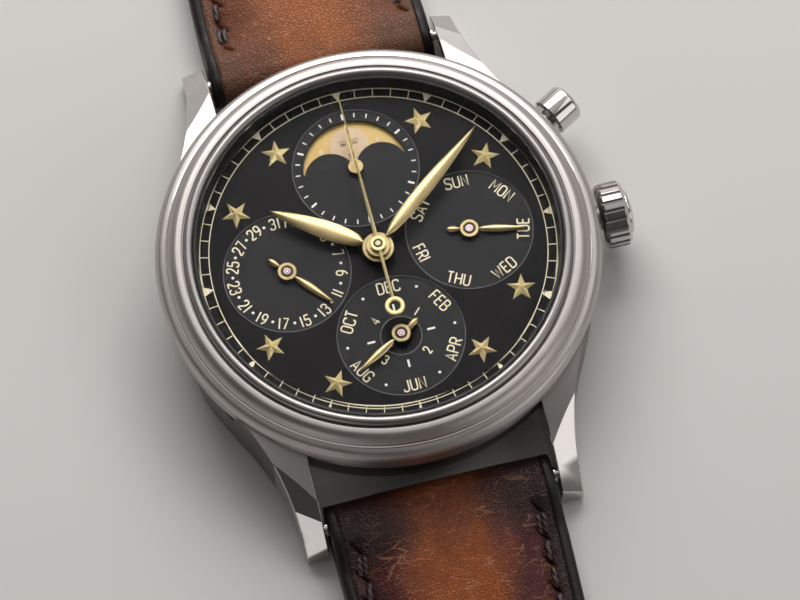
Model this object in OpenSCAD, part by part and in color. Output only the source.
// Perpetual calendar wristwatch with a one-button chronograph, a moon phase and a leather strap.
// It lies open on its case back. +Z is up, +Y points to 12 o'clock and +X to the crown.
// The origin is the middle of the flat case back. All sizes are in millimetres.

/* [Dial and bezel] */
// Diameter of the dial
dial_d = 34.4; // [33.8:0.2:36]
// Thickness of the dial
dial_t = 0.4; // [0.3:0.05:0.5]
// Width of the polished bead next to the glass
bead_w = 1.0; // [0.7:0.1:1.4]
// Width of the groove outside the bead
groove_w = 0.2; // [0.15:0.05:0.3]
// Width of the bezel's upper band
band_w = 1.45; // [1.0:0.05:2]
// Width of the bezel's lower band
foot_w = 1.05; // [0.8:0.05:1.4]
// Height of the bezel above the case middle
bezel_h = 2.7; // [2.4:0.1:3]
// Height of the inner ring between the dial and the glass
rehaut_h = 1.3; // [1.2:0.05:1.6]
// Thickness of the domed glass at its middle
glass_t = 1.0; // [0.8:0.1:1.4]
// Rise of the glass dome
glass_rise = 1.2; // [0.9:0.1:1.5]

/* [Subdials] */
// Distance of each subdial from the middle of the dial
sub_offset = 8.8; // [8.6:0.05:9]
// Radius of a subdial
sub_r = 6.03; // [5.7:0.05:6.1]
// Depth of a subdial's recess
sub_depth = 0.12; // [0.05:0.01:0.18]
// Radius of the moon window
moon_window_r = 4.95; // [4.6:0.05:5.1]
// Radius of the two humps that cover the moon
moon_hump_r = 2.45; // [2.2:0.05:2.6]
// Radius of the ring of stars
star_ring_r = 13.9; // [13.6:0.1:14.2]
// Radius of one star to its points
star_r = 1.42; // [1.2:0.02:1.6]

/* [Hands] */
// Length of the hour hand
hour_len = 10.9; // [9.5:0.1:11.5]
// Length of the minute hand
minute_len = 15.5; // [14.5:0.1:15.8]
// Length of the chronograph hand
seconds_len = 15.5; // [14.5:0.1:15.8]
// Length of a calendar hand
calendar_len = 5.5; // [4.8:0.1:5.7]
// Greatest width of the hour hand's blade
hour_w = 1.7; // [1.3:0.1:2]
// Greatest width of the minute hand's blade
minute_w = 1.4; // [1.1:0.1:1.7]
// Thickness of a hand
hand_t = 0.2; // [0.14:0.02:0.22]
// Free height between one hand and the next
hand_gap = 0.25; // [0.2:0.01:0.3]

/* [Movement] */
// Wall of the ring between the movement and the case
ring_wall = 1.5; // [1.1:0.1:1.7]
// Thickness of the rear glass
back_glass_t = 1.15; // [0.9:0.05:1.4]
// Radius of the rear window
window_r = 12.9; // [12.6:0.1:13.2]
// Thickness of a wheel
wheel_t = 0.25; // [0.2:0.01:0.28]
// Thickness of the bridges
bridge_t = 0.7; // [0.65:0.05:0.9]
// Height of the going train between bridges and main plate
train_h = 1.2; // [1.15:0.05:1.4]
// Thickness of the main plate
plate_t = 1.2; // [1.15:0.05:1.5]
// Height of the hand-setting wheels over the main plate
motion_h = 1.15; // [1.1:0.05:1.4]
// Thickness of the calendar plate
calendar_plate_t = 0.5; // [0.4:0.05:0.7]
// Height of the calendar wheels under the dial
calendar_h = 1.9; // [1.85:0.05:2.2]

/* [Case and lugs] */
// Distance over the lug tips
lug_span = 50.5; // [49.5:0.5:52]
// Width of a lug at its tip
lug_tip_w = 2.1; // [1.9:0.1:2.6]
// How much wider a lug grows towards the case
lug_flare = 3.6; // [3:0.1:4]
// Height of the lug tip's upper edge
lug_tip_h = 4.0; // [3.8:0.1:4.6]
// Thickness of the case back's rim
back_t = 0.9; // [0.8:0.05:1]

/* [Crown and pushers] */
// Diameter of the crown
crown_d = 6.3; // [5.6:0.1:6.8]
// Length of the crown's fluted barrel
crown_len = 2.6; // [2.2:0.1:3]
// Number of flutes round the crown
flutes = 22; // [18:1:26]
// How far the crown pulls out
crown_travel = 0.9; // [0.5:0.1:1]
// Diameter of the chronograph pusher
pusher_d = 3.8; // [3.4:0.1:4.2]
// Length of the chronograph pusher's cap
pusher_len = 2.8; // [2.4:0.1:3.2]
// How far the pusher moves in
pusher_travel = 0.8; // [0.5:0.1:0.9]
// How far a calendar corrector moves in
corrector_travel = 0.4; // [0.2:0.05:0.5]

/* [Strap] */
// Width of the strap between the lugs
strap_w = 22; // [21:0.5:22.5]
// Width of the strap at the buckle
strap_end_w = 18; // [17:0.5:19]
// Thickness of the padded strap at the lugs
strap_pad = 4.6; // [4.2:0.1:5]
// Thickness of the strap away from the padding
strap_thin = 2.5; // [2.3:0.1:2.8]
// Length of the buckle half from its spring bar to its buckle
strap_short = 72; // [66:1:80]
// Length of the half with the holes from its spring bar
strap_long = 112; // [104:1:120]
// Number of adjusting holes
holes = 7; // [5:1:8]
// Distance between two adjusting holes
hole_step = 6.5; // [6:0.5:7]
// Length of the buckle frame
buckle_len = 13; // [12:0.5:15]

/* [Hidden] */
$fn = 72;
e = 0.02;
fit = 0.05;
press = 0;
bore_gap = 0.1;
dial_ledge = 0.3;
bridge_rim = 0.9;
barrel_gap = 0.3;

dial_r = dial_d / 2;
glass_bore = dial_r + bore_gap;
bead_r = glass_bore + bead_w;
band_r = bead_r + groove_w;
step_r = band_r + band_w;
case_r = step_r + foot_w;
case_bore = dial_r - dial_ledge;
works_r = case_bore - ring_wall;
glass_seat_r = window_r + 0.8;
back_hollow_r = max(glass_seat_r + 0.1, works_r - 1.5);

works_gap = 0.45;
z_works = back_glass_t + works_gap;
z_bridge = z_works + wheel_t + 0.1;
z_train = z_bridge + bridge_t;
z_plate = z_train + train_h;
z_motion = z_plate + plate_t;
z_calendar_plate = z_motion + motion_h;
z_calendar = z_calendar_plate + calendar_plate_t;
z_under = z_calendar + calendar_h;
z_dial = z_under + dial_t;
z_case = z_under - 0.3;
z_glass = z_dial + rehaut_h;
z_stem = z_plate + plate_t / 2;

thin_hand_t = 0.7 * hand_t;
z_sub_hand = z_dial + 0.15;
z_month_hand = z_sub_hand + thin_hand_t + 0.1;
z_hour = z_dial + 0.8;
z_minute = z_hour + hand_t + hand_gap;
z_seconds = z_minute + hand_t + hand_gap;
z_glass_in = z_seconds + hand_t + 0.08;

// Nested tubes at the middle, from the inside out
seconds_r = 0.25;
cannon_r = 0.55;
hour_pipe_r = 0.85;
centre_hole_r = 1.05;

pivot_r = 0.1;
jewel_hole_r = 0.14;
arbor_r = 0.22;
calendar_arbor_r = 0.35;
leap_pipe_r = 0.6;

// Going train: teeth, pitch radii and places
barrel_teeth = 70;
centre_leaves = 14;
barrel_r = 6.17;
centre_pinion_r = barrel_r * centre_leaves / barrel_teeth;
centre_teeth = 64;
third_leaves = 8;
centre_r = 4.3;
third_pinion_r = centre_r * third_leaves / centre_teeth;
third_teeth = 60;
fourth_leaves = 8;
third_r = 3.6;
fourth_pinion_r = third_r * fourth_leaves / third_teeth;
fourth_teeth = 60;
escape_leaves = 6;
fourth_r = 3.0;
escape_pinion_r = fourth_r * escape_leaves / fourth_teeth;
escape_teeth = 15;
escape_r = 1.8;

barrel_angle = 42;
third_angle = 200;
fourth_angle = 250;
escape_angle = 310;
function polar(r, a) = [r * cos(a), r * sin(a)];
barrel_at = polar(barrel_r + centre_pinion_r, barrel_angle);
third_at = polar(centre_r + third_pinion_r, third_angle);
fourth_at = third_at + polar(third_r + fourth_pinion_r, fourth_angle);
escape_at = fourth_at + polar(fourth_r + escape_pinion_r, escape_angle);
balance_at = [2.6, -8.9];
balance_r = 3.6;
fork_angle = -15;
fork_at = escape_at + polar(2.45, fork_angle);
cock_len = 5.3;
cock_angle = 20;
cock_foot = balance_at + polar(cock_len, cock_angle);
cock_foot_r = 1.4;
cock_t = 0.45;

// Bridge screws, each in a pillar that stands on the main plate
screw_at_r = 12.6;
barrel_screws = [polar(screw_at_r, 76), polar(screw_at_r, 96), polar(screw_at_r, -16)];
train_screws = [polar(screw_at_r, 128), polar(screw_at_r, 178), polar(screw_at_r, 222)];
pillar_r = 0.9;
screw_head_r = 0.7;
screw_head_h = 0.28;
screw_shank_r = 0.35;
screw_depth = 0.6;

// Winding and setting wheels
ratchet_teeth = 48;
ratchet_r = 3.9;
crown_wheel_teeth = 27;
crown_wheel_r = ratchet_r * crown_wheel_teeth / ratchet_teeth;
crown_wheel_angle = -41;
crown_wheel_at = barrel_at + polar(ratchet_r + crown_wheel_r, crown_wheel_angle);
winding_teeth = 14;
winding_r = 1.45;
winding_x = 11.6;
winding_len = 1.1;
stem_r = 0.4;
crown_face_r = crown_wheel_r - 0.15;
z_crown_face = z_stem - winding_r * (1 + 0.9 / winding_teeth) - 0.06;

// Hand-setting wheels: cannon pinion, minute wheel with its pinion, and hour wheel
cannon_leaves = 12;
cannon_pitch = 0.95;
minute_teeth = 36;
minute_wheel_r = cannon_pitch * minute_teeth / cannon_leaves;
minute_leaves = 10;
hour_teeth = 40;
minute_pinion_r = (cannon_pitch + minute_wheel_r) / (1 + hour_teeth / minute_leaves);
hour_wheel_r = minute_pinion_r * hour_teeth / minute_leaves;
minute_wheel_angle = -25;
minute_wheel_at = polar(cannon_pitch + minute_wheel_r, minute_wheel_angle);

// Subdial middles
date_at = [-sub_offset, 0];
day_at = [sub_offset, 0];
month_at = [0, -sub_offset];
moon_at = [0, sub_offset];

// Angles clockwise from 12 o'clock that the hands show at rest
hour_angle = 304.3;
minute_angle = 51;
date_angle = 139.4;
day_angle = 102.9;
month_angle = 240;
leap_angle = 60;

// Case middle, crown, pusher and correctors
crown_x = case_r + 0.4;
tube_out_r = 1.15;
tube_in_r = 0.8;
neck_r = 0.7;
pusher_angle = 30;
pusher_from = case_r + 1.3;
pusher_tube_out = 1.45;
pusher_neck_r = 0.9;
pusher_stem_r = 0.35;
pusher_neck_from = works_r + pusher_travel + 0.2;
corrector_angles = [-28.7, -39.7];
corrector_len = 2.7;
corrector_h = 1.1;
column_tip = 1.05;
column_at = barrel_at + polar(ratchet_r + column_tip + 0.45, 11.03);
z_flank = z_case - 3.0;

// Lugs and spring bars
lug_in = strap_w / 2 + 0.25;
lug_tip_y = lug_span / 2;
lug_root_y = 12;
lug_root_h = z_case - 0.4;
bar_r = 0.75;
bar_y = lug_tip_y - 1.9;
bar_z = strap_pad / 2;
bar_tip_r = 0.45;
bar_tip = 0.8;
strap_end_gap = 0.12;
strap_half = strap_w / 2 - 0.15;
buckle_y = bar_y + strap_short;
buckle_bar_r = 0.7;
buckle_bar_z = 2.3;
buckle_side = 1.7;
buckle_bead_r = 1.3;
buckle_inner = strap_end_w / 2 + 0.3;
tongue_slot = 3.3;
keeper_wall = 0.9;
keeper_w = 6;
keeper_gap = 0.35;
keeper_play = 0.7;
keeper_from_buckle = 20;
keeper_y = buckle_y - keeper_from_buckle;
keeper_travel = 8;
strap_rise = keeper_wall + 0.15;

steel = [0.62, 0.60, 0.59];
polished = [0.78, 0.77, 0.76];
black = [0.11, 0.11, 0.12];
gold = [0.86, 0.76, 0.50];
brass = [0.78, 0.66, 0.40];
rhodium = [0.72, 0.72, 0.73];
blued = [0.12, 0.18, 0.45];
ruby = [0.75, 0.10, 0.25];
leather = [0.50, 0.25, 0.13];
glass = [0.85, 0.90, 0.93, 0.35];

// Helpers

module tube(outer, inner, z0, z1) {
    translate([0, 0, z0]) difference() {
        cylinder(r = outer, h = z1 - z0);
        translate([0, 0, -1]) cylinder(r = inner, h = z1 - z0 + 2);
    }
}

module rod(r, z0, z1, fn = 36) {
    translate([0, 0, z0]) cylinder(r = r, h = z1 - z0, $fn = fn);
}

module clock(angle, at = [0, 0]) {
    translate([at[0], at[1], 0]) rotate([0, 0, -angle]) children();
}

// Points along an arc, from angle a to angle b
function arc(c, r, a, b, n) = [for (i = [0:n]) c + polar(r, a + (b - a) * i / n)];

// Outline of a wheel whose first tooth points along +X
function teeth(n, pitch) =
    let (m = 2 * pitch / n, root = pitch - 0.62 * m, tip = pitch + 0.45 * m, step = 360 / n)
    [for (i = [0:n - 1]) each [polar(root, (i - 0.27) * step), polar(tip, (i - 0.12) * step),
                               polar(tip, (i + 0.12) * step), polar(root, (i + 0.27) * step)]];

module gear(n, pitch, z0, z1, turn = 0) {
    translate([0, 0, z0]) rotate([0, 0, turn]) linear_extrude(z1 - z0) polygon(teeth(n, pitch));
}

// The mate of a wheel lies along the line at angle a, and has a gap where the wheel has a tooth
function mate_turn(n, a) = a + 180 + 180 / n;

// A wheel with a rim, a hub and crossings
module crossed_wheel(n, pitch, z0, z1, turn, arms, hub_r) {
    rim = pitch * 0.80;
    difference() {
        gear(n, pitch, z0, z1, turn);
        translate([0, 0, z0 - 1]) cylinder(r = rim, h = z1 - z0 + 2);
    }
    rod(hub_r, z0, z1);
    for (i = [0:arms - 1]) rotate([0, 0, i * 360 / arms])
        translate([hub_r - 0.15, -pitch * 0.055, z0]) cube([rim + e - hub_r + 0.15, pitch * 0.11, z1 - z0]);
}

// An arbor with a pivot at each end, running from bridge to main plate
module arbor(leaves_r) {
    rod(arbor_r, z_train + fit, z_plate - fit);
    rod(pivot_r, z_bridge + fit, z_plate + 0.35, 24);
}

// Case

// The case middle's outside, from its foot up to its seat for the bezel
module flank() {
    rib = 0.12;
    rib_h = 0.35;
    ribs = 3;
    foot_r = case_r - 1.5;
    waist_r = case_r - 0.75;
    top_r = case_r - 0.25;
    ribbed = [for (i = [0:ribs - 1]) each [
        [top_r - 0.2 + 0.07 * i, z_flank + 0.7 + i * (rib_h + 0.3)],
        [top_r - 0.2 + 0.07 * i - rib, z_flank + 0.8 + i * (rib_h + 0.3)],
        [top_r - 0.2 + 0.07 * i - rib, z_flank + 0.9 + i * (rib_h + 0.3)],
        [top_r - 0.13 + 0.07 * i, z_flank + 1.0 + i * (rib_h + 0.3)]]];
    rotate_extrude() polygon(concat(
        [[case_bore, back_t], [foot_r, back_t]],
        arc([foot_r - 0.2, back_t + 2.6], waist_r - foot_r + 0.2, -60, 0, 6),
        [[waist_r, z_flank - 0.1], [top_r - 0.32, z_flank], [top_r - 0.25, z_flank + 0.5]],
        ribbed,
        [[top_r, z_case - 0.35], [top_r - 0.15, z_case - 0.15], [top_r - 0.5, z_case],
         [glass_bore - fit, z_case], [glass_bore - fit, z_under], [case_bore, z_under]]));
}

// One lug, at 1 o'clock: its plan and its side view meet, then a slanting cut leaves the bevel
module lug() {
    n = 14;
    facet_from = 3.85;
    facet_h = 1.5;
    facet_slope = 29.2;
    facet_lean = 14.7;
    y_at = function (i) lug_root_y + (lug_tip_y - lug_root_y) * i / n;
    outer = [for (i = [0:n])
        let (s = (lug_tip_y - y_at(i)) / (lug_tip_y - lug_root_y))
        [lug_in + lug_tip_w + lug_flare * pow(s, 2.1), y_at(i)]];
    upper = [for (i = [0:n])
        let (s = (y_at(i) - lug_root_y) / (lug_tip_y - lug_root_y))
        [y_at(i), lug_tip_h + (lug_root_h - lug_tip_h) * (1 - pow(s, 1.35))]];
    difference() {
        intersection() {
            linear_extrude(z_case) polygon(concat(
                [[lug_in, lug_root_y]], outer,
                [[lug_in + lug_tip_w - 0.1, lug_tip_y + 0.3], [lug_in, lug_tip_y + 0.15]]));
            translate([lug_in - 1, 0, 0]) rotate([90, 0, 90]) linear_extrude(lug_flare + lug_tip_w + 3)
                polygon(concat(upper,
                    [[lug_tip_y + 0.3, 0.5], [lug_tip_y + 0.05, 0.25], [lug_tip_y - 2, 0.3]],
                    arc([lug_tip_y - 6.2, -5.2], 6.3, 55, 100, 6),
                    [[lug_root_y, 1.2]]));
        }
        translate([lug_in, lug_tip_y - facet_from, lug_tip_h + facet_h])
            rotate([-facet_slope, 0, 0]) rotate([0, facet_lean, 0]) translate([-6, -14, 0]) cube([20, 30, 6]);
    }
}

module lugs() {
    for (mx = [0, 1], my = [0, 1]) mirror([mx, 0, 0]) mirror([0, my, 0]) lug();
}

module corrector_slot(len, h, depth_from, depth_to) {
    translate([depth_from, 0, 0]) rotate([90, 0, 90]) hull()
        for (s = [-1, 1]) translate([s * (len - h) / 2, 0, 0])
            cylinder(r = h / 2, h = depth_to - depth_from, $fn = 24);
}

module corrector_place(i) {
    rotate([0, 0, corrector_angles[i]]) translate([0, 0, z_flank + 1.3]) children();
}

module mid_case() {
    color(steel) difference() {
        union() {
            flank();
            lugs();
        }
        cylinder(r = case_bore, h = z_under);
        translate([0, 0, -1]) cylinder(r = case_r - 1.8, h = 1 + back_t);
        translate([0, 0, back_t - e]) cylinder(r = case_bore + 0.4, h = 0.35 + e);
        translate([0, 0, z_stem]) rotate([0, 90, 0]) cylinder(r = tube_out_r, h = case_r + 5);
        translate([case_r - 0.35, 0, z_stem]) rotate([0, 90, 0]) cylinder(r = crown_d / 2 + 0.3, h = 5);
        rotate([0, 0, pusher_angle]) translate([0, 0, z_stem]) rotate([0, 90, 0])
            cylinder(r = pusher_tube_out, h = case_r + 5);
        for (i = [0, 1]) corrector_place(i) {
            corrector_slot(corrector_len, corrector_h, case_r - 0.9, case_r + 3);
            rotate([0, 90, 0]) cylinder(r = 0.4, h = case_r + 3, $fn = 24);
        }
        for (i = [0:5]) rotate([0, 0, 60 * i + 30]) translate([screw_ring_r(), 0, back_t - e])
            cylinder(r = 0.42, h = 1.4, $fn = 24);
        for (sx = [-1, 1], sy = [-1, 1])
            translate([sx * (lug_in - 1), sy * bar_y, bar_z]) rotate([0, sx * 90, 0])
                cylinder(r = bar_tip_r + fit, h = 1 + bar_tip + 0.3, $fn = 24);
    }
}

function screw_ring_r() = case_bore + 1.15;

module bezel() {
    top = z_case + bezel_h;
    bead_c = [(glass_bore + bead_r) / 2, top - bead_w / 2];
    color(steel) rotate_extrude($fn = 120) polygon(concat(
        [[glass_bore, z_case], [case_r - 0.6, z_case], [case_r - 0.6, z_case + 0.12],
         [case_r - 0.12, z_case + 0.16], [case_r, z_case + 0.32]],
        arc([case_r - 1.0, z_case + 0.15], 1.0, 12, 62, 6),
        [[step_r, z_case + 1.12], [step_r, z_case + 1.35]],
        arc([step_r - 1.45, z_case + 0.8], 1.53, 26, 72, 7),
        [[band_r, top - 0.45], [band_r, top - 0.8], [bead_r, top - 0.8]],
        arc(bead_c, bead_w / 2, 0, 168, 10),
        [[glass_bore, top - 0.35]]));
}

function dome(r, edge_z, rise, n) =
    let (big = (r * r + rise * rise) / (2 * rise), a = asin(r / big))
    [for (i = [0:n]) let (t = a * (1 - i / n)) [big * sin(t), edge_z + rise - big + big * cos(t)]];

module crystal() {
    r = glass_bore - 0.25;
    inner_rise = 0.4 * glass_rise;
    edge = z_glass_in + inner_rise + glass_t - glass_rise;
    inner = dome(r - 0.7, z_glass_in, inner_rise, 10);
    outer = dome(r - 0.15, edge, glass_rise, 10);
    color(glass) rotate_extrude() polygon(concat(
        [[r, z_glass], [r, edge - 0.15]], outer,
        [for (i = [0:10]) inner[10 - i]], [[r - 0.7, z_glass]]));
}

module gaskets() {
    color("black") {
        tube(glass_bore, glass_bore - 0.25, z_glass, z_glass + 0.5);
        tube(case_bore + 0.35, case_bore + 0.02, back_t, back_t + 0.3);
    }
}

module rehaut() {
    color(black) rotate_extrude($fn = 120) polygon([[glass_bore - fit, z_dial],
        [glass_bore - fit, z_glass], [glass_bore - 0.3, z_glass], [dial_r - 0.35, z_dial + 0.1],
        [dial_r - 0.35, z_dial]]);
}

module case_back() {
    rim = case_r - 1.85;
    spigot = case_bore - fit;
    color(steel) difference() {
        rotate_extrude() polygon([[window_r, 0], [rim - 0.35, 0], [rim, 0.3], [rim, back_t],
            [spigot, back_t], [spigot, z_bridge - 0.05], [back_hollow_r, z_bridge - 0.05],
            [back_hollow_r, back_glass_t + 0.1], [glass_seat_r, back_glass_t],
            [glass_seat_r, 0.3], [window_r, 0.3]]);
        for (i = [0:5]) rotate([0, 0, 60 * i + 30]) translate([screw_ring_r(), 0, 0]) {
            translate([0, 0, -1]) cylinder(r = 0.45, h = 3, $fn = 24);
            translate([0, 0, -e]) cylinder(r = 0.85, h = 0.5, $fn = 24);
        }
    }
}

module back_crystal() {
    color(glass) {
        rod(window_r, 0, 0.3 + e, 72);
        rod(glass_seat_r, 0.3, back_glass_t, 72);
    }
}

module slotted_screw(head_r, head_h, shank_r, shank_h) {
    difference() {
        union() {
            cylinder(r = head_r, h = head_h, $fn = 24);
            cylinder(r = shank_r, h = head_h + shank_h, $fn = 24);
        }
        translate([-head_r - 1, -0.09, -1]) cube([2 * head_r + 2, 0.18, 1 + head_h * 0.4]);
    }
}

module back_screws() {
    color(polished) for (i = [0:5]) rotate([0, 0, 60 * i + 30]) translate([screw_ring_r(), 0, 0.04])
        rotate([0, 0, 35 * i]) slotted_screw(0.8, 0.44, 0.4, 1.5);
}

module case_tubes() {
    color(steel) {
        translate([case_bore - 0.2, 0, z_stem]) rotate([0, 90, 0])
            tube(tube_out_r, tube_in_r, 0, crown_x - case_bore + 0.9);
        rotate([0, 0, pusher_angle]) translate([case_bore - 0.2, 0, z_stem]) rotate([0, 90, 0]) {
            tube(pusher_tube_out, pusher_neck_r + fit, 0, pusher_from - case_bore - 0.9);
        }
    }
}

module movement_ring() {
    color(brass) difference() {
        tube(case_bore - fit, works_r + 0.08, z_bridge - 0.05, z_under);
        translate([0, 0, z_stem]) rotate([0, 90, 0]) cylinder(r = tube_out_r + 0.1, h = 30);
        rotate([0, 0, pusher_angle]) translate([0, 0, z_stem]) rotate([0, 90, 0])
            cylinder(r = pusher_tube_out + 0.1, h = 30);
        for (i = [0, 1]) corrector_place(i) rotate([0, 90, 0]) cylinder(r = 0.45, h = 30, $fn = 24);
    }
}

// Dial

// The moon window: a round opening less the two humps and the part below them
module moon_window() {
    floor_y = 0.53;
    difference() {
        circle(r = moon_window_r);
        translate([-10, -10 - moon_hump_r]) square([20, 10 + moon_hump_r - 0.2]);
        for (s = [-1, 1]) translate([s * (moon_window_r - moon_hump_r), -0.35]) circle(r = moon_hump_r);
        translate([-moon_window_r - 1, -1]) square([1.1, 1 + floor_y]);
        translate([moon_window_r - 0.1, -1]) square([1.1, 1 + floor_y]);
    }
}

module dial() {
    color(black) difference() {
        translate([0, 0, z_under]) cylinder(r = dial_r, h = dial_t, $fn = 120);
        for (at = [date_at, day_at, month_at, moon_at]) translate([at[0], at[1], z_dial - sub_depth])
            cylinder(r = sub_r, h = 1);
        translate([moon_at[0], moon_at[1], z_under - 1]) linear_extrude(3) moon_window();
        rod(centre_hole_r, z_under - 1, z_dial + 1);
        for (at = [date_at, day_at, moon_at]) translate([at[0], at[1], 0])
            rod(calendar_arbor_r + 0.1, z_under - 1, z_dial + 1);
        translate([month_at[0], month_at[1], 0]) rod(leap_pipe_r + 0.1, z_under - 1, z_dial + 1);
    }
}

module star() {
    inner = star_r * 0.4;
    rotate([0, 0, 180]) linear_extrude(0.42, scale = 0.01) polygon([for (i = [0:9])
        polar(i % 2 == 0 ? star_r : inner, 36 * i)]);
}

module star_markers() {
    color(gold) for (h = [1, 2, 4, 5, 7, 8, 10, 11])
        rotate([0, 0, 90 - 30 * h]) translate([star_ring_r, 0, z_dial]) star();
}

// Movement: plates and bridges

module train_holes(z0, z1, r) {
    for (at = [third_at, fourth_at, escape_at]) translate([at[0], at[1], 0]) rod(r, z0, z1, 24);
}

module main_plate() {
    color(brass) difference() {
        rod(works_r, z_plate, z_motion, 96);
        rod(centre_hole_r, z_plate - 1, z_motion + 1);
        train_holes(z_plate - 1, z_plate + 0.4, jewel_hole_r);
        for (at = [balance_at, fork_at]) translate([at[0], at[1], 0])
            rod(jewel_hole_r, z_plate - 1, z_plate + 0.4, 24);
        for (at = concat(barrel_screws, train_screws, [cock_foot])) translate([at[0], at[1], 0])
            rod(screw_shank_r + fit, z_plate - 1, z_plate + screw_depth + 0.1, 24);
        rotate([0, 0, pusher_angle]) translate([works_r - 1, 0, z_stem]) rotate([0, 90, 0])
            cylinder(r = pusher_stem_r + 0.1, h = 2, $fn = 24);
        translate([barrel_at[0], barrel_at[1], 0]) rod(0.6, z_plate - 1, z_motion + 1);
        translate([minute_wheel_at[0], minute_wheel_at[1], 0]) rod(0.25, z_plate - 1, z_motion + 1, 24);
        translate([moon_at[0], moon_at[1], 0]) rod(0.3, z_plate - 1, z_motion + 1, 24);
        translate([8, 0, z_stem]) rotate([0, 90, 0]) cylinder(r = stem_r + fit, h = 10, $fn = 24);
        translate([winding_x - 0.15, -winding_r - 0.3, z_plate - 1])
            cube([winding_len + 0.3, 2 * winding_r + 0.6, plate_t + 2]);
    }
}

module calendar_plate() {
    color(rhodium) difference() {
        rod(works_r, z_calendar_plate, z_calendar, 96);
        rod(hour_pipe_r + 0.1, z_calendar_plate - 1, z_calendar + 1);
        for (at = [date_at, day_at, month_at]) translate([at[0], at[1], 0])
            rod(jewel_hole_r, z_calendar_plate - 1, z_calendar + 1, 24);
        translate([moon_at[0], moon_at[1], 0]) rod(0.3, z_calendar_plate - 1, z_calendar + 1, 24);
        translate([minute_wheel_at[0], minute_wheel_at[1], 0])
            rod(0.25, z_calendar_plate - 1, z_calendar_plate + 0.2, 24);
    }
    color(rhodium) translate([moon_at[0], moon_at[1], 0]) tube(0.42, 0.3, z_calendar, z_under - 0.5);
}

// A sector of the round movement between two angles
module sector(r, a, b) {
    polygon(concat([[0, 0]], arc([0, 0], r * 1.5, a, b, 12)));
}

module bridge(a, b, foot_a, foot_b, screws) {
    translate([0, 0, z_bridge]) linear_extrude(bridge_t) intersection() {
        circle(r = works_r, $fn = 96);
        sector(works_r, a, b);
    }
    translate([0, 0, z_bridge]) linear_extrude(bridge_t + train_h) intersection() {
        difference() {
            circle(r = works_r, $fn = 96);
            circle(r = works_r - bridge_rim, $fn = 96);
        }
        sector(works_r, foot_a, foot_b);
    }
    for (at = screws) translate([at[0], at[1], 0]) rod(pillar_r, z_bridge, z_plate);
}

module screw_hole(at) {
    translate([at[0], at[1], z_bridge - 1]) cylinder(r = screw_head_r + fit, h = 1.3, $fn = 24);
    translate([at[0], at[1], z_bridge - 1]) cylinder(r = screw_shank_r + fit, h = 6, $fn = 24);
}

module barrel_bridge() {
    color(rhodium) difference() {
        bridge(-30, 104, -29, 103, barrel_screws);
        rod(1.35, z_bridge - 1, z_train + 1);
        translate([barrel_at[0], barrel_at[1], 0]) {
            rod(0.6, z_bridge - 1, z_train + 1);
            rod(barrel_r * (1 + 1.8 / barrel_teeth) + barrel_gap, z_train + 0.1, z_plate + 1, 72);
        }
        translate([crown_wheel_at[0], crown_wheel_at[1], 0])
            rod(crown_face_r * (1 + 0.9 / crown_wheel_teeth) + fit, z_bridge - 1, z_train + 1);
        translate([moon_at[0], moon_at[1], 0]) rod(0.3, z_bridge - 1, z_train + 1, 24);
        translate([column_at[0], column_at[1], 0]) rod(0.25, z_bridge - 1, z_train + 1, 24);
        translate([winding_x - 0.15, -winding_r - 0.3, z_train - 0.2])
            cube([winding_len + 0.3, 2 * winding_r + 0.6, train_h + 2]);
        translate([8, 0, z_stem]) rotate([0, 90, 0]) cylinder(r = stem_r + fit, h = 10, $fn = 24);
        for (at = barrel_screws) screw_hole(at);
    }
}

module train_bridge() {
    color(rhodium) difference() {
        bridge(104.5, 262, 105, 255, train_screws);
        rod(1.35, z_bridge - 1, z_train + 1);
        translate([balance_at[0], balance_at[1], 0]) rod(balance_r + 0.4, z_bridge - 1, z_plate + 1);
        train_holes(z_bridge - 1, z_bridge + 0.25, 0.5);
        train_holes(z_bridge - 1, z_train + 1, 0.2);
        for (at = train_screws) screw_hole(at);
    }
}

module balance_cock() {
    color(rhodium) difference() {
        union() {
            translate([balance_at[0], balance_at[1], z_works]) {
                cylinder(r = 1.1, h = cock_t);
                rotate([0, 0, cock_angle]) linear_extrude(cock_t)
                    polygon([[0, -1.0], [cock_len, -1.2], [cock_len, 1.2], [0, 1.0]]);
            }
            translate([cock_foot[0], cock_foot[1], z_works]) cylinder(r = cock_foot_r, h = z_plate - z_works);
        }
        translate([balance_at[0], balance_at[1], 0]) {
            rod(0.5, z_works - 1, z_works + 0.25, 24);
            rod(0.2, z_works - 1, z_works + 2, 24);
        }
        translate([cock_foot[0], cock_foot[1], z_works - 1]) {
            cylinder(r = screw_head_r + fit, h = 1.3, $fn = 24);
            cylinder(r = screw_shank_r + fit, h = 6, $fn = 24);
        }
    }
}

// A bridge screw with its head in the bridge and its end in the main plate
module bridge_screw(at, z0) {
    translate([at[0], at[1], z0 + e]) rotate([0, 0, 50 * at[0]])
        slotted_screw(screw_head_r, screw_head_h, screw_shank_r, z_plate + screw_depth - z0 - screw_head_h);
}

module movement_screws() {
    color(blued) {
        for (at = concat(barrel_screws, train_screws)) bridge_screw(at, z_bridge);
        bridge_screw(cock_foot, z_works);
    }
}

module jewel(at, z0) {
    translate([at[0], at[1], 0]) tube(0.5, jewel_hole_r, z0, z0 + 0.25);
}

module jewels() {
    color(ruby) {
        for (at = [third_at, fourth_at, escape_at]) jewel(at, z_bridge);
        jewel(balance_at, z_works);
    }
}

module spring_bars() {
    color(steel) for (sy = [-1, 1]) translate([0, sy * bar_y, bar_z]) rotate([0, 90, 0]) {
        translate([0, 0, -lug_in + 0.15]) cylinder(r = bar_r, h = 2 * lug_in - 0.3, $fn = 24);
        translate([0, 0, -lug_in - bar_tip]) cylinder(r = bar_tip_r, h = 2 * (lug_in + bar_tip), $fn = 24);
    }
}

// Crown and winding

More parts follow.
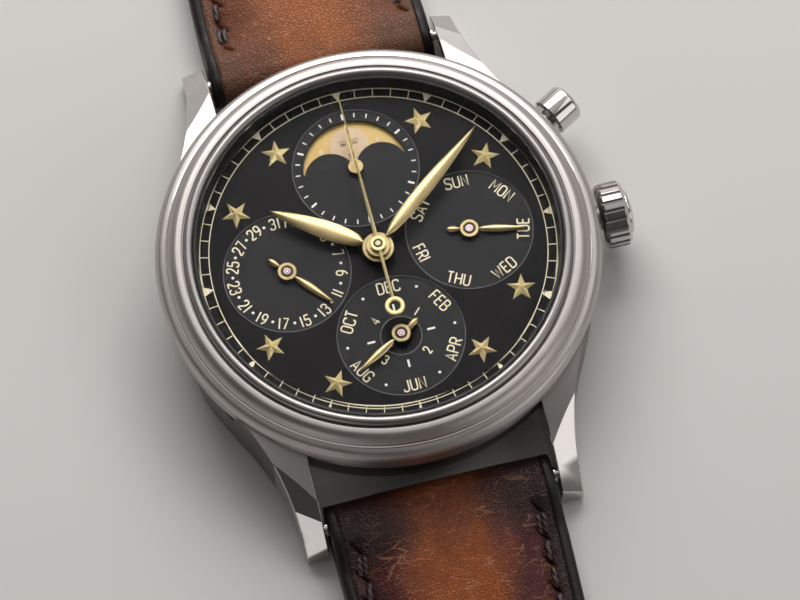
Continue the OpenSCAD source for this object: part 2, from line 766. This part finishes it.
module crown() {
    r = crown_d / 2;
    flute_r = PI * crown_d / flutes * 0.24;
    color(polished) translate([crown_x, 0, z_stem]) rotate([0, 90, 0]) difference() {
        union() {
            rotate_extrude() polygon(concat(
                [[0, 0], [r - 0.5, 0], [r - 0.05, 0.35], [r, 0.55], [r, crown_len - 0.35],
                 [r - 0.3, crown_len], [r * 0.68, crown_len]],
                arc([r * 0.68 - 0.3, crown_len + 0.1], 0.3, 0, 80, 4),
                [[r * 0.3, crown_len + 0.62], [0, crown_len + 0.66]]));
        }
        for (i = [0:flutes - 1]) rotate([0, 0, i * 360 / flutes]) translate([r + 0.05, 0, 0.3])
            cylinder(r = flute_r, h = crown_len - 0.6, $fn = 16);
        translate([0, 0, -1]) cylinder(r = tube_out_r + fit, h = 1 + 1.0 + crown_travel * 0.3);
    }
}

module winding_stem() {
    from = 8.6;
    color(steel) translate([0, 0, z_stem]) rotate([0, 90, 0]) {
        translate([0, 0, from]) cylinder(r = stem_r, h = crown_x + 0.9 - from, $fn = 36);
        translate([0, 0, case_bore + 0.4]) cylinder(r = neck_r, h = crown_x + 1.27 - case_bore - 0.4);
    }
}

module crown_gasket() {
    color("black") translate([0, 0, z_stem]) rotate([0, 90, 0])
        translate([0, 0, case_bore + 1.6]) tube(tube_in_r - 0.02, neck_r + 0.02, 0, 0.6);
}

module winding_pinion() {
    color(steel) difference() {
        translate([winding_x, 0, z_stem]) rotate([0, 90, 0]) gear(winding_teeth, winding_r, 0, winding_len, 90 / 7);
        translate([0, 0, z_stem]) rotate([0, 90, 0]) cylinder(r = stem_r + fit, h = 20, $fn = 36);
    }
}

module crown_wheel() {
    turn = mate_turn(crown_wheel_teeth, crown_wheel_angle);
    color(steel) translate([crown_wheel_at[0], crown_wheel_at[1], 0]) difference() {
        union() {
            gear(crown_wheel_teeth, crown_wheel_r, z_works, z_works + wheel_t, turn);
            gear(crown_wheel_teeth, crown_face_r, z_works, z_crown_face, turn);
        }
        rod(crown_face_r - 0.55, z_works + wheel_t, z_crown_face + 1);
        rod(0.3, z_works - 1, z_works + 0.15, 24);
    }
}

module ratchet_wheel() {
    color(steel) translate([barrel_at[0], barrel_at[1], 0]) {
        gear(ratchet_teeth, ratchet_r, z_works, z_works + wheel_t, crown_wheel_angle);
        rod(0.55, z_works, z_plate + 0.5);
    }
}

module barrel() {
    color(brass) translate([barrel_at[0], barrel_at[1], 0]) difference() {
        union() {
            rod(barrel_r - 0.35, z_train + 0.35, z_plate - 0.08, 72);
            gear(barrel_teeth, barrel_r, z_plate - 0.33, z_plate - 0.08, barrel_angle + 180);
        }
        rod(0.6, z_train, z_plate + 1);
        rod(barrel_r - 0.8, z_train + 0.5, z_plate - 0.23, 72);
    }
}

// Going train

module centre_wheel() {
    color(brass) difference() {
        union() {
            crossed_wheel(centre_teeth, centre_r, z_train + 0.08, z_train + 0.28, third_angle, 4, 1.0);
            gear(centre_leaves, centre_pinion_r, z_plate - 0.36, z_plate - 0.06,
                 mate_turn(centre_leaves, barrel_angle + 180));
            rod(0.9, z_train + 0.08, z_motion + 0.08);
        }
        rod(cannon_r + fit, z_train - 1, z_motion + 1);
    }
}

module third_wheel() {
    color(brass) translate([third_at[0], third_at[1], 0]) {
        gear(third_leaves, third_pinion_r, z_train + 0.08, z_train + 0.32,
             mate_turn(third_leaves, third_angle));
        crossed_wheel(third_teeth, third_r, z_plate - 0.75, z_plate - 0.55, fourth_angle, 4, 0.5);
        arbor();
    }
}

module fourth_wheel() {
    color(brass) translate([fourth_at[0], fourth_at[1], 0]) {
        gear(fourth_leaves, fourth_pinion_r, z_plate - 0.8, z_plate - 0.5,
             mate_turn(fourth_leaves, fourth_angle));
        crossed_wheel(fourth_teeth, fourth_r, z_train + 0.08, z_train + 0.28, escape_angle, 4, 0.5);
        arbor();
    }
}

module escape_wheel() {
    color(polished) translate([escape_at[0], escape_at[1], 0]) {
        gear(escape_leaves, escape_pinion_r, z_train + 0.06, z_train + 0.3,
             mate_turn(escape_leaves, escape_angle));
        translate([0, 0, z_plate - 0.65]) linear_extrude(0.2) difference() {
            polygon([for (i = [0:escape_teeth - 1]) each [
                polar(escape_r - 0.45, i * 24 + 2), polar(escape_r - 0.42, i * 24 + 18),
                polar(escape_r, i * 24 + 22), polar(escape_r, i * 24 + 24)]]);
            circle(r = 0.95);
        }
        for (i = [0:3]) rotate([0, 0, 90 * i]) translate([0, -0.1, z_plate - 0.65]) cube([1.1, 0.2, 0.2]);
        arbor();
    }
}

module pallet_fork() {
    color(polished) translate([fork_at[0], fork_at[1], 0]) {
        translate([0, 0, z_plate - 0.65]) linear_extrude(0.2) {
            hull() {
                circle(r = 0.3, $fn = 24);
                translate(polar(3.4, -3.5)) circle(r = 0.12, $fn = 24);
            }
            for (s = [-1, 1]) hull() {
                circle(r = 0.25, $fn = 24);
                translate(polar(1.35, fork_angle + 180 + s * 60)) circle(r = 0.15, $fn = 24);
            }
        }
        rod(pivot_r, z_plate - 1.0, z_plate + 0.35, 24);
    }
}

module balance_wheel() {
    color(gold) translate([balance_at[0], balance_at[1], 0]) {
        tube(balance_r, balance_r - 0.4, z_works + 0.95, z_works + 1.25);
        for (i = [0:2]) rotate([0, 0, 120 * i + 20]) translate([0, -0.14, z_works + 1.0])
            cube([balance_r - 0.3, 0.28, 0.2]);
        for (i = [0:5]) rotate([0, 0, 60 * i + 20]) translate([balance_r - 0.2, 0, z_works + 0.85])
            cylinder(r = 0.16, h = 0.12, $fn = 16);
        rod(0.3, z_works + 0.5, z_works + 1.4);
        rod(0.15, z_works + 0.5, z_plate - 0.1, 24);
        rod(pivot_r, z_works + 0.04, z_plate + 0.35, 24);
    }
}

// The hairspring is one flat spiral from the collet outwards
module hairspring() {
    turns = 8;
    per_turn = 18;
    wire = 0.05;
    n = turns * per_turn;
    r_at = function (i) 0.32 + 1.9 * i / n;
    inner = [for (i = [0:n]) polar(r_at(i) - wire / 2, i * 360 / per_turn)];
    outer = [for (i = [0:n]) polar(r_at(n - i) + wire / 2, (n - i) * 360 / per_turn)];
    color(blued) translate([balance_at[0], balance_at[1], z_works + 0.6]) linear_extrude(0.16)
        polygon(concat(inner, outer));
}

// Hand-setting wheels

module cannon_pinion() {
    color(steel) difference() {
        union() {
            rod(cannon_r, z_train + 0.1, z_minute);
            gear(cannon_leaves, cannon_pitch, z_motion + 0.12, z_motion + 0.42,
                 mate_turn(cannon_leaves, minute_wheel_angle + 180));
        }
        rod(seconds_r + fit, z_train - 1, z_minute + 1);
    }
}

module minute_wheel() {
    color(brass) translate([minute_wheel_at[0], minute_wheel_at[1], 0]) {
        gear(minute_teeth, minute_wheel_r, z_motion + 0.12, z_motion + 0.37, minute_wheel_angle + 180);
        gear(minute_leaves, minute_pinion_r, z_motion + 0.37, z_motion + 0.85, minute_wheel_angle + 180);
        rod(0.2, z_motion - 0.5, z_calendar_plate + 0.15, 24);
    }
}

module hour_wheel() {
    color(brass) difference() {
        union() {
            gear(hour_teeth, hour_wheel_r, z_motion + 0.55, z_motion + 0.8,
                 mate_turn(hour_teeth, minute_wheel_angle + 180));
            rod(hour_pipe_r, z_motion + 0.55, z_hour);
        }
        rod(cannon_r + fit, z_motion, z_hour + 1);
    }
}

// Hands, each drawn pointing along +Y

// Leaf outline: narrow at both ends, widest at the share s_max of its length
function leaf(y0, y1, w, n) = concat(
    [for (i = [0:n]) [leaf_w(i / n) * w / 2, y0 + (y1 - y0) * i / n]],
    [for (i = [1:n - 1]) [-leaf_w(1 - i / n) * w / 2, y1 - (y1 - y0) * i / n]]);
function leaf_w(s) = 0.1 + 0.9 * pow(sin(180 * pow(s, 0.72)), 0.9);

// A blade is crowned: its top face is narrower than its foot
module blade(y0, y1, w, z0, t = hand_t) {
    hull() {
        translate([0, 0, z0]) linear_extrude(t * 0.35) polygon(leaf(y0, y1, w, 14));
        translate([0, 0, z0]) linear_extrude(t) polygon(leaf(y0 + w / 4, y1 - w / 2, w * 0.35, 14));
    }
}

module hub(outer, inner, z0, z1) {
    tube(outer, inner, z0, z1);
}

module hour_hand() {
    color(gold) clock(hour_angle) {
        blade(1.25, hour_len, hour_w, z_hour);
        hub(1.5, hour_pipe_r, z_hour, z_hour + hand_t);
        tube(hour_pipe_r + e, cannon_r + fit, z_hour, z_hour + hand_t);
    }
}

module minute_hand() {
    color(gold) clock(minute_angle) {
        blade(0.95, minute_len, minute_w, z_minute);
        tube(1.15, seconds_r + fit, z_minute, z_minute + hand_t);
    }
}

module seconds_hand() {
    ring_at = 6.5;
    color(gold) {
        hull() {
            translate([-0.17, 0.4, z_seconds]) cube([0.34, e, thin_hand_t]);
            translate([-0.05, seconds_len - e, z_seconds]) cube([0.1, e, thin_hand_t]);
        }
        translate([-0.13, -ring_at + 0.75, z_seconds]) cube([0.26, ring_at - 1.2, thin_hand_t]);
        translate([0, -ring_at, 0]) tube(0.94, 0.52, z_seconds, z_seconds + thin_hand_t);
        tube(0.72, seconds_r, z_seconds, z_seconds + hand_t);
    }
}

module chrono_wheel() {
    color(brass) difference() {
        union() {
            crossed_wheel(60, 3.0, z_works, z_works + 0.2, 0, 4, 0.9);
            rod(seconds_r, z_works, z_seconds + hand_t, 24);
        }
        rod(0.1, z_works - 1, z_works + 0.1, 16);
    }
}

module counter_hand() {
    color(gold) translate([moon_at[0], moon_at[1], 0]) {
        hull() {
            translate([-0.15, 0.5, z_sub_hand]) cube([0.3, e, thin_hand_t]);
            translate([-0.06, 4.4, z_sub_hand]) cube([0.12, e, thin_hand_t]);
        }
        rod(0.7, z_sub_hand, z_sub_hand + hand_t);
        rod(0.22, z_works + 0.1, z_sub_hand + hand_t, 24);
        crossed_wheel(48, 2.2, z_works, z_works + 0.2, 0, 4, 0.5);
    }
}

module column_wheel() {
    color(steel) translate([column_at[0], column_at[1], 0]) {
        rod(0.75, z_works, z_works + wheel_t);
        for (i = [0:5]) rotate([0, 0, 60 * i]) translate([column_tip - 0.5, -0.16, z_works - 0.22])
            cube([0.5, 0.32, 0.22 + wheel_t]);
        rod(0.2, z_works, z_train - 0.1, 24);
    }
}

module calendar_hand(angle, at, z0) {
    clock(angle, at) {
        blade(0.8, calendar_len, 0.75, z0, hand_t);
        blade(-2.15, -0.8, 0.62, z0, hand_t);
        tube(0.9, calendar_arbor_r, z0, z0 + hand_t);
    }
}

module calendar_arbor(at, z1) {
    translate([at[0], at[1], 0]) {
        rod(calendar_arbor_r, z_calendar + 0.05, z1, 24);
        rod(pivot_r, z_calendar_plate + 0.05, z_calendar + 0.1, 24);
    }
}

// A star wheel with pointed teeth
module star_wheel(n, r, z0, z1, at, turn = 0) {
    translate([at[0], at[1], z0]) rotate([0, 0, turn]) linear_extrude(z1 - z0)
        polygon([for (i = [0:2 * n - 1]) polar(i % 2 == 0 ? r : r * (1 - 2.4 / n), i * 180 / n)]);
}

z_star = z_calendar + 0.15;

module date_wheel() {
    color(brass) {
        star_wheel(31, 4.5, z_star, z_star + wheel_t, date_at);
        calendar_arbor(date_at, z_sub_hand + hand_t + 0.03);
    }
}

module date_hand() {
    color(gold) calendar_hand(date_angle, date_at, z_sub_hand);
}

module day_wheel() {
    color(brass) {
        star_wheel(7, 3.2, z_star, z_star + wheel_t, day_at);
        calendar_arbor(day_at, z_sub_hand + hand_t + 0.03);
    }
}

module day_hand() {
    color(gold) calendar_hand(day_angle, day_at, z_sub_hand);
}

// The month cam has a notch for every short month, the deepest for February
module month_wheel() {
    short = [0, 0.35, 0, 0.18, 0, 0.18, 0, 0, 0.18, 0, 0.18, 0];
    color(brass) {
        star_wheel(12, 3.4, z_star, z_star + wheel_t, month_at);
        translate([month_at[0], month_at[1], z_star + wheel_t]) linear_extrude(wheel_t)
            polygon([for (i = [0:11]) each [polar(2.3 - short[i], 30 * i - 14),
                                            polar(2.3 - short[i], 30 * i + 14)]]);
        calendar_arbor(month_at, z_month_hand + hand_t + 0.03);
    }
}

module month_hand() {
    color(gold) calendar_hand(month_angle, month_at, z_month_hand);
}

module leap_year_hand() {
    z0 = z_sub_hand;
    color(gold) clock(leap_angle, month_at) {
        blade(0.45, 2.05, 0.55, z0, thin_hand_t);
        tube(0.68, calendar_arbor_r + fit, z0, z0 + thin_hand_t);
        tube(leap_pipe_r, calendar_arbor_r + fit, z_star + 2 * wheel_t + 0.25, z0);
        tube(1.5, calendar_arbor_r + fit, z_star + 2 * wheel_t + 0.25, z_star + 3 * wheel_t + 0.25);
    }
}

module moon_disc() {
    top = z_under - 0.12;
    color([0.80, 0.62, 0.30]) translate([moon_at[0], moon_at[1], 0]) {
        tube(moon_window_r + 0.35, 0.42 + fit, top - 0.2, top);
        tube(0.75, 0.42 + fit, top - 0.7, top - 0.2 + e);
    }
}

// Pusher and correctors

module pusher() {
    r = pusher_d / 2;
    in = pusher_from;
    color(polished) rotate([0, 0, pusher_angle]) translate([0, 0, z_stem]) rotate([0, 90, 0]) {
        translate([0, 0, in]) rotate_extrude() polygon(concat(
            [[0, 0], [r - 0.25, 0], [r, 0.2]],
            arc([r - 0.45, pusher_len - 0.45], 0.45, 0, 80, 5),
            [[0, pusher_len]]));
        translate([0, 0, pusher_neck_from]) cylinder(r = pusher_neck_r, h = in - pusher_neck_from + 0.2);
        translate([0, 0, works_r + 0.3]) cylinder(r = pusher_stem_r, h = 2, $fn = 24);
    }
}

// A coil spring round the pusher's inner stem, as one swept tube
module pusher_spring() {
    turns = 3;
    per_turn = 12;
    sides = 6;
    wire = 0.09;
    coil_r = 0.62;
    n = turns * per_turn;
    x0 = works_r + wire + 0.05;
    length = pusher_neck_from - works_r - 2 * wire - 0.1;
    points = [for (i = [0:n], k = [0:sides - 1])
        let (a = i * 360 / per_turn, c = coil_r + wire * cos(k * 360 / sides))
        [x0 + length * i / n + wire * sin(k * 360 / sides), c * cos(a), c * sin(a)]];
    faces = concat(
        [for (i = [0:n - 1], k = [0:sides - 1]) let (m = (k + 1) % sides)
            [i * sides + k, i * sides + m, (i + 1) * sides + m, (i + 1) * sides + k]],
        [[for (k = [0:sides - 1]) sides - 1 - k]],
        [[for (k = [0:sides - 1]) n * sides + k]]);
    color(steel) rotate([0, 0, pusher_angle]) translate([0, 0, z_stem]) polyhedron(points, faces);
}

module corrector(i) {
    color(polished) corrector_place(i) {
        corrector_slot(corrector_len - 0.3, corrector_h - 0.3, case_r - 0.85 + corrector_travel, case_r - 0.2);
        rotate([0, 90, 0]) translate([0, 0, works_r + 0.6])
            cylinder(r = 0.34, h = case_r - 0.3 - works_r - 0.6, $fn = 24);
    }
}

module corrector_date() { corrector(0); }

module corrector_day() { corrector(1); }

// Strap and buckle

function taper(y) = strap_half + (strap_end_w / 2 - strap_half) * min(1, max(0, (y - bar_y - 6) / 55));

// Side view of a strap half: a round end on the spring bar, padding, then a thin tail.
// Points run along the top and back along the bottom.
module strap_side(y1, rise_from, rise) {
    pad_len = 26;
    r = bar_z - strap_end_gap;
    n = 8;
    top = [for (i = [0:n]) let (s = i / n) [bar_y + 3 + pad_len * s,
        strap_pad - 0.15 + (strap_thin - strap_pad + 0.15) * (1 - cos(180 * s)) / 2]];
    tail_top = rise > 0
        ? [[rise_from, strap_thin], [rise_from + 6, strap_thin + rise], [y1, strap_thin + rise]]
        : [[y1, strap_thin]];
    tail_bottom = rise > 0
        ? [[y1, rise], [rise_from + 6, rise], [rise_from, 0]]
        : [[y1, 0]];
    polygon(concat(arc([bar_y, bar_z], r, 270, 90, 12), top, tail_top, tail_bottom,
                   [[bar_y + 3, 0]]));
}

module strap_plan(y1, tip) {
    n = 10;
    end = strap_end_w / 2;
    right = [for (i = [0:n]) let (y = bar_y - 3 + (y1 - tip - bar_y + 3) * i / n) [taper(y), y]];
    nose = tip > 0 ? [for (i = [1:8]) [end * cos(90 * i / 8), y1 - tip + tip * sin(90 * i / 8)]] : [];
    half = concat(right, nose);
    m = len(half);
    polygon(concat(half, [for (i = [0:m - 1]) [-half[m - 1 - i][0], half[m - 1 - i][1]]]));
}

module strap_body(y1, tip, rise_from, rise) {
    intersection() {
        linear_extrude(10) strap_plan(y1, tip);
        translate([-strap_w, 0, 0]) rotate([90, 0, 90]) linear_extrude(2 * strap_w)
            strap_side(y1, rise_from, rise);
    }
}

module bar_bore(y, z, r) {
    translate([-strap_w, y, z]) rotate([0, 90, 0]) cylinder(r = r, h = 2 * strap_w, $fn = 36);
}

module strap_12() {
    color(leather) difference() {
        union() {
            strap_body(buckle_y, 0, keeper_y - keeper_travel - 12, strap_rise);
            translate([-strap_end_w / 2, buckle_y, buckle_bar_z]) rotate([0, 90, 0])
                cylinder(r = strap_thin / 2, h = strap_end_w, $fn = 36);
        }
        bar_bore(bar_y, bar_z, bar_r + 0.08);
        bar_bore(buckle_y, buckle_bar_z, buckle_bar_r + 0.08);
        translate([-1.7, buckle_y - tongue_slot, -1]) cube([3.4, 10, 10]);
    }
}

module strap_6() {
    y1 = bar_y + strap_long;
    color(leather) mirror([0, 1, 0]) difference() {
        strap_body(y1, 9, 0, 0);
        bar_bore(bar_y, bar_z, bar_r + 0.08);
        for (i = [0:holes - 1]) translate([0, y1 - 26 - i * hole_step, -1])
            cylinder(r = 1.1, h = 10, $fn = 24);
    }
}

module buckle_frame() {
    outer = buckle_inner + buckle_side;
    y0 = buckle_y - 1.4;
    y1 = buckle_y + buckle_len;
    color(polished) {
        difference() {
            intersection() {
                linear_extrude(10) difference() {
                    polygon(concat([[-outer, y0], [outer, y0]],
                        arc([outer - 2.5, y1 - 2.5], 2.5, 0, 90, 6),
                        arc([-outer + 2.5, y1 - 2.5], 2.5, 90, 180, 6)));
                    polygon([[-buckle_inner, y0 - 1], [buckle_inner, y0 - 1],
                        [buckle_inner, y1 - 3.2], [buckle_inner - 1, y1 - 2.2],
                        [-buckle_inner + 1, y1 - 2.2], [-buckle_inner, y1 - 3.2]]);
                }
                translate([-20, 0, 0]) rotate([90, 0, 90]) linear_extrude(40) polygon(concat(
                    arc([y0 + 1.4, buckle_bar_z], 1.4, 270, 90, 8),
                    [[y0 + 6, buckle_bar_z + 1.5]],
                    arc([y1 - buckle_bead_r, buckle_bead_r], buckle_bead_r, 120, -90, 10),
                    [[y0 + 6, 0.4]]));
            }
        }
        translate([-buckle_inner - 0.2, buckle_y, buckle_bar_z]) rotate([0, 90, 0])
            cylinder(r = buckle_bar_r, h = 2 * buckle_inner + 0.4, $fn = 36);
    }
}

module buckle_tongue() {
    y1 = buckle_y + buckle_len + 0.3;
    top = 2 * buckle_bead_r + 0.1;
    color(polished) difference() {
        union() {
            translate([-1.25, buckle_y, buckle_bar_z]) rotate([0, 90, 0])
                cylinder(r = buckle_bar_r + 0.75, h = 2.5, $fn = 36);
            translate([-1.0, 0, 0]) rotate([90, 0, 90]) linear_extrude(2.0) polygon([
                [buckle_y + 0.6, buckle_bar_z + 0.2], [buckle_y + 2.5, top],
                [y1, top], [y1, top + 0.6], [y1 - 1, top + 0.85],
                [buckle_y + 2.2, top + 1.0], [buckle_y - 0.4, buckle_bar_z + 1.3]]);
        }
        bar_bore(buckle_y, buckle_bar_z, buckle_bar_r + 0.08);
    }
}

module free_keeper() {
    inner = max(taper(keeper_y - keeper_travel - keeper_w), strap_end_w / 2) + keeper_gap;
    inner_h = 2 * strap_thin + keeper_play;
    color(leather) translate([0, keeper_y, 0]) difference() {
        translate([-inner - keeper_wall, -keeper_w / 2, 0])
            cube([2 * (inner + keeper_wall), keeper_w, inner_h + 2 * keeper_wall]);
        translate([-inner, -keeper_w, keeper_wall]) cube([2 * inner, 2 * keeper_w, inner_h]);
    }
}

mid_case();
bezel();
crystal();
gaskets();
rehaut();
case_back();
back_crystal();
back_screws();
case_tubes();
movement_ring();
dial();
star_markers();
main_plate();
calendar_plate();
barrel_bridge();
train_bridge();
balance_cock();
movement_screws();
jewels();
spring_bars();
crown();
winding_stem();
crown_gasket();
winding_pinion();
crown_wheel();
ratchet_wheel();
barrel();
centre_wheel();
third_wheel();
fourth_wheel();
escape_wheel();
pallet_fork();
balance_wheel();
hairspring();
cannon_pinion();
minute_hand();
minute_wheel();
hour_wheel();
hour_hand();
chrono_wheel();
seconds_hand();
counter_hand();
column_wheel();
date_wheel();
date_hand();
day_wheel();
day_hand();
month_wheel();
month_hand();
leap_year_hand();
moon_disc();
pusher();
pusher_spring();
corrector_date();
corrector_day();
strap_12();
strap_6();
buckle_frame();
buckle_tongue();
free_keeper();
